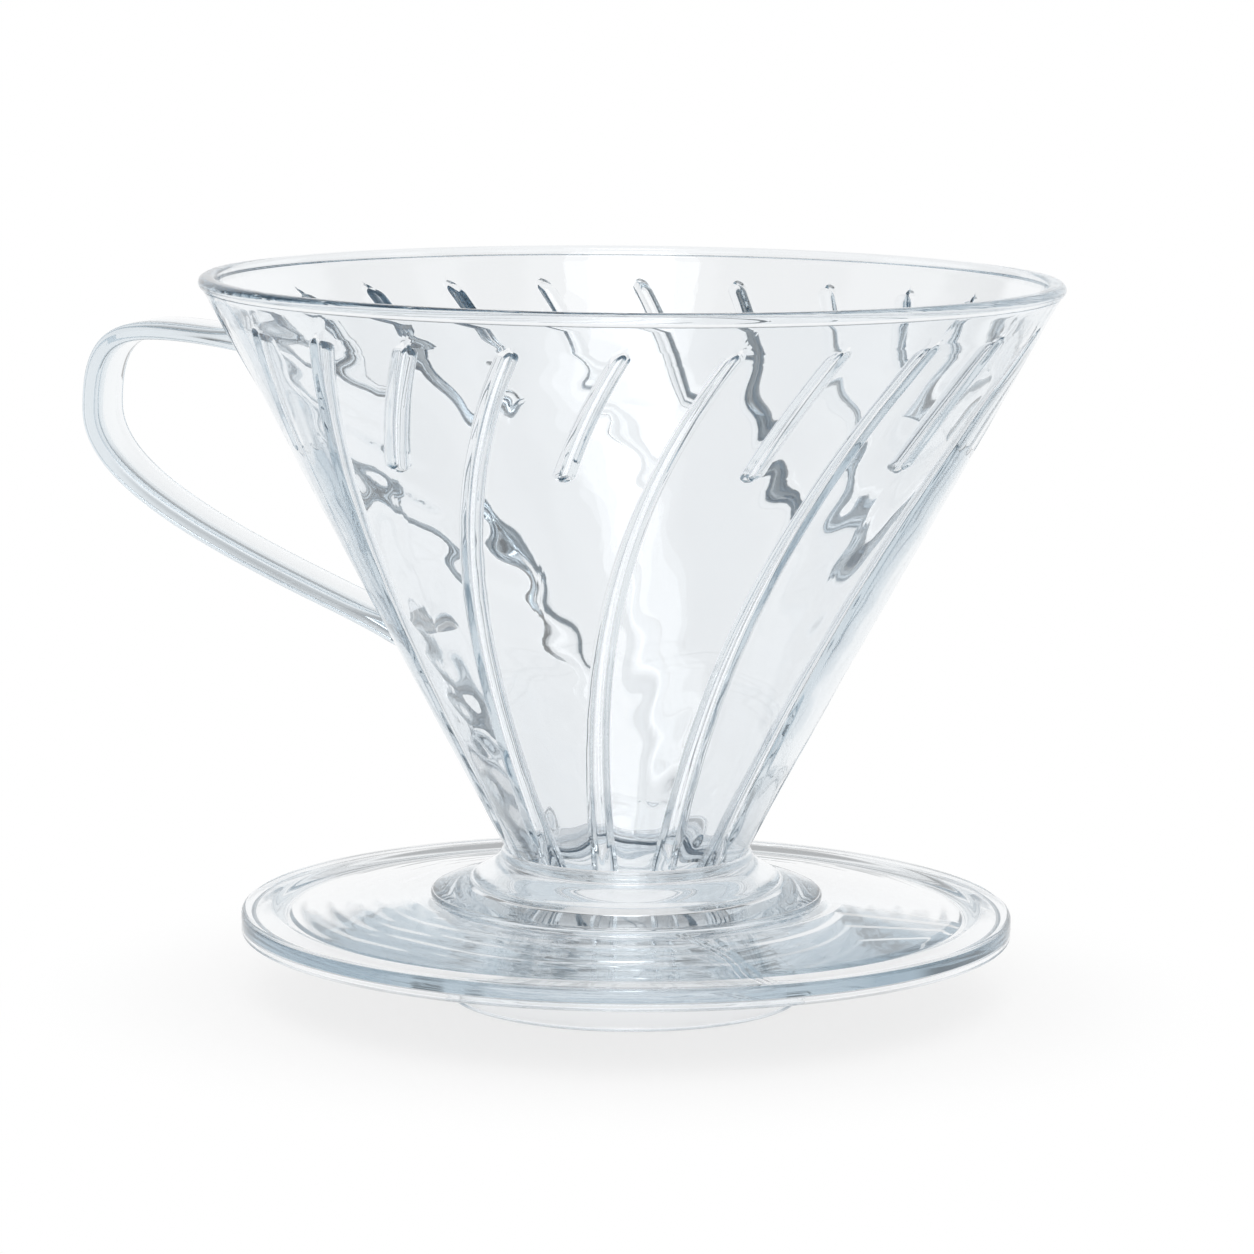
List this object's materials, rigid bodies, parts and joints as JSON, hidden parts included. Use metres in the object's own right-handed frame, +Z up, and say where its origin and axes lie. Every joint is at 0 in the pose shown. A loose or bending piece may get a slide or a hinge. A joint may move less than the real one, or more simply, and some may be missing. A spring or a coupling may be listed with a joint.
{
  "type": "pour over dripper",
  "caption": "Clear ribbed filter cone with a strap handle on a flared collar and round saucer, with a locating ring that drops into the mouth of a mug or server.",
  "frame": {"origin": "on the cone's axis, at the bottom of the locating ring", "axes": "+Z up along the cone's axis, the handle points along -X"},
  "size_m": [0.1354, 0.116, 0.098],
  "materials": {
    "clear_plastic": "clear polished moulded plastic"
  },
  "bodies": {
    "root": {"cone": "clear_plastic", "handle": "clear_plastic", "collar": "clear_plastic", "base_plate": "clear_plastic", "locating_ring": "clear_plastic"}
  },
  "joints": []
}
